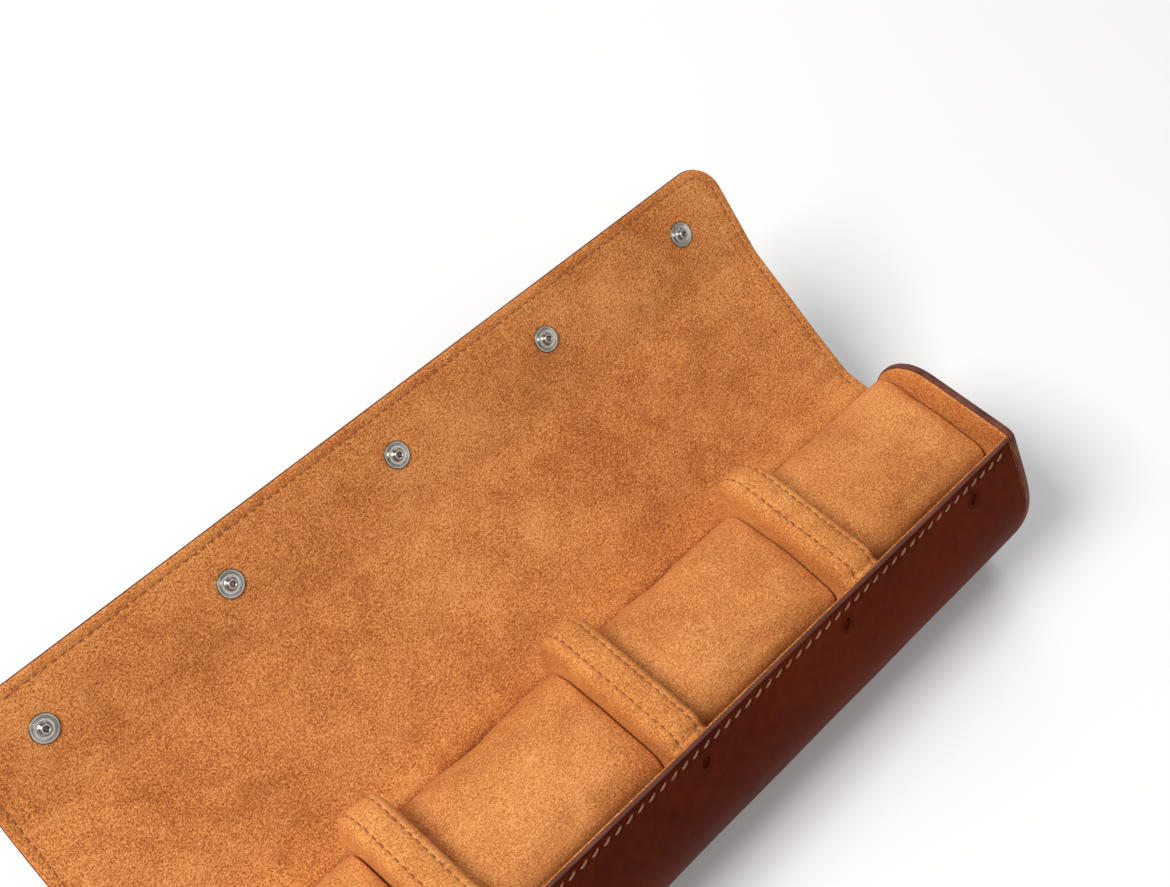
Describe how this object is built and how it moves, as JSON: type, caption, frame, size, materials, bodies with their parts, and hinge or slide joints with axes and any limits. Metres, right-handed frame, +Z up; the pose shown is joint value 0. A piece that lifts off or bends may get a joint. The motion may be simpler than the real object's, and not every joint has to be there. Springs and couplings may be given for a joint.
{
  "type": "padded watch roll case",
  "caption": "Long soft leather case with padded bays and lift-out cushions; a suede-lined flap folds over the top and snaps to the front wall.",
  "frame": {"origin": "centre of the flat base that the case rests on", "axes": "+X along the case, to the right as seen from the front wall; +Y back, towards the hinge; +Z up"},
  "size_m": [0.336, 0.164, 0.0987],
  "materials": {
    "leather_brown": "smooth dark red-brown leather, slight sheen",
    "suede_lining": "tan suede, mottled nap",
    "suede_divider": "light tan suede, padded",
    "suede_cushion": "light tan suede",
    "board": "grey fibreboard stiffener",
    "foam": "open-cell foam",
    "nickel": "polished nickel",
    "socket_dark": "dark bronze plating"
  },
  "bodies": {
    "case": {"board_back": "board", "board_base": "board", "board_front": "board", "body_leather": "leather_brown", "body_lining": "suede_lining", "divider_core_left": "board", "divider_core_middle": "board", "divider_core_right": "board", "divider_cover_left": "suede_divider", "divider_cover_middle": "suede_divider", "divider_cover_right": "suede_divider", "end_board_left": "board", "end_board_right": "board", "end_leather_left": "leather_brown", "end_leather_right": "leather_brown", "end_lining_left": "suede_lining", "end_lining_right": "suede_lining", "snap_socket_far_left": "socket_dark", "snap_socket_far_right": "socket_dark", "snap_socket_left": "socket_dark", "snap_socket_middle": "socket_dark", "snap_socket_right": "socket_dark"},
    "flap_back": {"flap_leather_back": "leather_brown", "flap_lining_back": "suede_lining"},
    "flap_corner": {"flap_leather_corner": "leather_brown", "flap_lining_corner": "suede_lining"},
    "flap_top": {"flap_leather_top": "leather_brown", "flap_lining_top": "suede_lining"},
    "flap_front": {"flap_leather_front": "leather_brown", "flap_lining_front": "suede_lining", "snap_cap_far_left": "nickel", "snap_cap_far_right": "nickel", "snap_cap_left": "nickel", "snap_cap_middle": "nickel", "snap_cap_right": "nickel", "snap_stud_far_left": "nickel", "snap_stud_far_right": "nickel", "snap_stud_left": "nickel", "snap_stud_middle": "nickel", "snap_stud_right": "nickel"},
    "cushion_1": {"cushion_1_end_left": "suede_cushion", "cushion_1_end_right": "suede_cushion", "cushion_1_foam": "foam", "cushion_1_sleeve": "suede_cushion"},
    "cushion_2": {"cushion_2_end_left": "suede_cushion", "cushion_2_end_right": "suede_cushion", "cushion_2_foam": "foam", "cushion_2_sleeve": "suede_cushion"},
    "cushion_3": {"cushion_3_end_left": "suede_cushion", "cushion_3_end_right": "suede_cushion", "cushion_3_foam": "foam", "cushion_3_sleeve": "suede_cushion"},
    "cushion_4": {"cushion_4_end_left": "suede_cushion", "cushion_4_end_right": "suede_cushion", "cushion_4_foam": "foam", "cushion_4_sleeve": "suede_cushion"}
  },
  "joints": [
    {"name": "flap_hinge", "type": "hinge", "parent": "case", "child": "flap_back", "pos_m": [0, 0.0323, 0.0403], "axis": [1, 0, 0], "range_deg": [0, 77]},
    {"name": "corner_fold", "type": "hinge", "parent": "flap_back", "child": "flap_corner", "pos_m": [0, 0.04822, 0.04602], "axis": [1, 0, 0], "range_deg": [0, 27.3]},
    {"name": "top_fold", "type": "hinge", "parent": "flap_corner", "child": "flap_top", "pos_m": [0, 0.06196, 0.05391], "axis": [1, 0, 0], "range_deg": [0, 40.8]},
    {"name": "front_fold", "type": "hinge", "parent": "flap_top", "child": "flap_front", "pos_m": [0, 0.1003, 0.07913], "axis": [1, 0, 0], "range_deg": [0, 50]},
    {"name": "cushion_1_lift", "type": "slide", "parent": "case", "child": "cushion_1", "axis": [0, 0, -1], "range_m": [-0.066, 0]},
    {"name": "cushion_2_lift", "type": "slide", "parent": "case", "child": "cushion_2", "axis": [0, 0, -1], "range_m": [-0.066, 0]},
    {"name": "cushion_3_lift", "type": "slide", "parent": "case", "child": "cushion_3", "axis": [0, 0, -1], "range_m": [-0.066, 0]},
    {"name": "cushion_4_lift", "type": "slide", "parent": "case", "child": "cushion_4", "axis": [0, 0, -1], "range_m": [-0.066, 0]}
  ]
}
